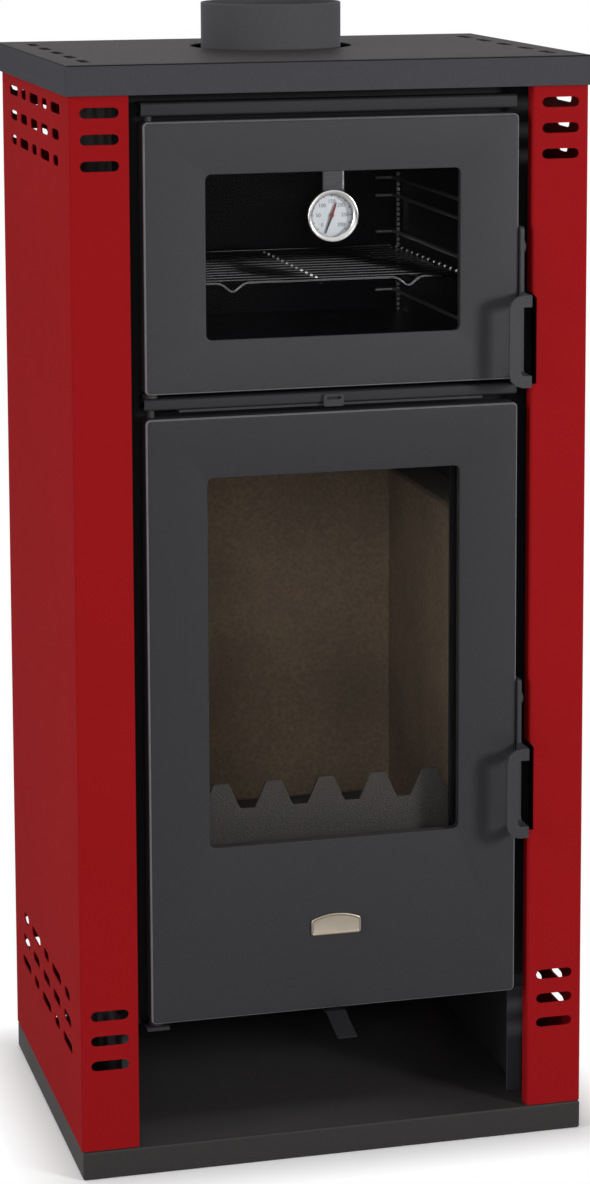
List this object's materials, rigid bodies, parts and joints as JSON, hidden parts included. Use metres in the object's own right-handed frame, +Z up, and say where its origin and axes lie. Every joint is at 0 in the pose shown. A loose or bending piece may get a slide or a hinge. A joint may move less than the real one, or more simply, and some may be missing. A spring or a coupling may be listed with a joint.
{
  "type": "wood stove with oven",
  "caption": "Upright steel wood stove with a baking oven over the firebox, red slotted side casings, a wood store below and a flue collar on top.",
  "frame": {"origin": "on the floor under the middle of the stove's bounding box", "axes": "+Z up, +X to the viewer's right when facing the doors, +Y from the doors to the back"},
  "size_m": [0.4676, 0.383, 1.016],
  "materials": {
    "casing_red": "satin red enamel",
    "stove_paint": "fine textured charcoal heat-proof paint",
    "firebox_steel": "dull heat-darkened steel",
    "oven_enamel": "glossy black enamel",
    "ceramic_glass": "clear ceramic glass",
    "lens_glass": "clear",
    "rope": "knitted glass fibre",
    "chromed_wire": "bright",
    "polished_steel": "polished",
    "dial_enamel": "satin white",
    "needle_red": "satin red",
    "badge_nickel": "aged nickel",
    "cast_iron": "rough cast",
    "firebrick": "dry pressed board",
    "zinc": "zinc plated"
  },
  "bodies": {
    "stove_body": {"base_plate": "stove_paint", "side_casing_left": "casing_red", "side_casing_right": "casing_red", "rear_shield": "stove_paint", "top_plate": "stove_paint", "flue_collar": "stove_paint", "body_shell": "firebox_steel", "front_frame": "stove_paint", "oven_box": "oven_enamel", "fire_bed_plate": "firebox_steel", "grate": "cast_iron", "log_guard": "cast_iron", "firebrick_left": "firebrick", "firebrick_right": "firebrick", "firebrick_back": "firebrick", "ash_pan": "zinc", "ash_pan_runner_left": "zinc", "ash_pan_runner_right": "zinc", "leg_left": "stove_paint", "leg_right": "stove_paint", "primary_air_guide_front": "firebox_steel", "primary_air_guide_rear": "firebox_steel", "oven_shelf": "chromed_wire", "oven_rack_left": "chromed_wire", "oven_rack_right": "chromed_wire", "oven_hinge_pin_top": "firebox_steel", "oven_hinge_pin_bottom": "firebox_steel", "firebox_hinge_pin_top": "firebox_steel", "firebox_hinge_pin_bottom": "firebox_steel"},
    "oven_door": {"oven_door_panel": "stove_paint", "oven_door_glass": "ceramic_glass", "oven_door_glass_gasket": "rope", "oven_door_glass_retainer": "firebox_steel", "oven_door_seal_channel": "firebox_steel", "oven_door_seal": "rope", "oven_latch_pivot": "firebox_steel", "thermometer_case": "polished_steel", "thermometer_dial": "dial_enamel", "thermometer_lens": "lens_glass", "thermometer_strap": "polished_steel"},
    "oven_latch": {"oven_door_handle": "stove_paint"},
    "thermometer_pointer": {"thermometer_needle": "needle_red"},
    "firebox_door": {"firebox_door_panel": "stove_paint", "firebox_door_glass": "ceramic_glass", "firebox_door_glass_gasket": "rope", "firebox_door_glass_retainer": "firebox_steel", "firebox_door_seal_channel": "firebox_steel", "firebox_door_seal": "rope", "firebox_latch_pivot": "firebox_steel", "blank_badge": "badge_nickel"},
    "firebox_latch": {"firebox_door_handle": "stove_paint"},
    "secondary_air": {"secondary_air_slide": "stove_paint"},
    "primary_air": {"primary_air_slide": "stove_paint"}
  },
  "joints": [
    {"name": "oven_door_hinge", "type": "hinge", "parent": "stove_body", "child": "oven_door", "pos_m": [-0.16, -0.1395, 0.6933], "axis": [0, 0, 1], "range_deg": [-100, 0]},
    {"name": "oven_latch_pivot", "type": "hinge", "parent": "oven_door", "child": "oven_latch", "pos_m": [0.1673, -0.148, 0.8096], "axis": [1, 0, 0], "range_deg": [-20, 0]},
    {"name": "thermometer_pointer_spin", "type": "hinge", "parent": "oven_door", "child": "thermometer_pointer", "pos_m": [-0.0025, -0.1513, 0.8431], "axis": [0, 1, 0], "range_deg": [-155, 115], "stiffness_Nm_per_rad": 0.001},
    {"name": "firebox_door_hinge", "type": "hinge", "parent": "stove_body", "child": "firebox_door", "pos_m": [-0.16, -0.1395, 0.1353], "axis": [0, 0, 1], "range_deg": [-100, 0]},
    {"name": "firebox_latch_pivot", "type": "hinge", "parent": "firebox_door", "child": "firebox_latch", "pos_m": [0.1673, -0.148, 0.4051], "axis": [1, 0, 0], "range_deg": [-20, 0]},
    {"name": "secondary_air_slide", "type": "slide", "parent": "stove_body", "child": "secondary_air", "axis": [1, 0, 0], "range_m": [-0.015, 0.015]},
    {"name": "primary_air_slide", "type": "slide", "parent": "stove_body", "child": "primary_air", "axis": [0, 1, 0], "range_m": [0, 0.03]}
  ]
}
